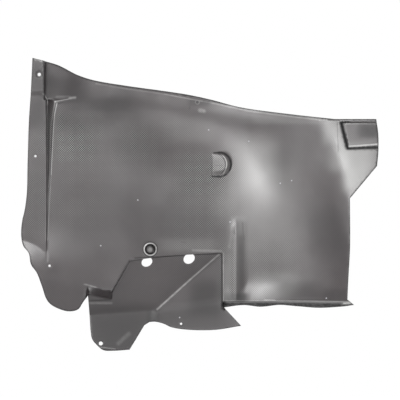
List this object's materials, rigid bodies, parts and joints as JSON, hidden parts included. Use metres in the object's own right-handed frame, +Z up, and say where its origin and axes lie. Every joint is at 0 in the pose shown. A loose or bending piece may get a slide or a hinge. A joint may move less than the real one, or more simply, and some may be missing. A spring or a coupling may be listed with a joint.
{
  "type": "wheel arch liner",
  "caption": "Moulded wheel arch liner: a thin dished plastic sheet with a screw flange, a facing tab, a faceted pocket with windows and a bottom edge folded back.",
  "frame": {"origin": "centre of the upper screw hole in the left flange, on the flange's front plane", "axes": "+X along the sheet from the screw flange to the facing tab, +Y from the wheel into the arch, +Z up"},
  "size_m": [0.7131, 0.1409, 0.5865],
  "materials": {
    "liner_plastic": "satin black moulded plastic with a fine diamond grain"
  },
  "bodies": {
    "root": {"arch_liner": "liner_plastic"}
  },
  "joints": []
}
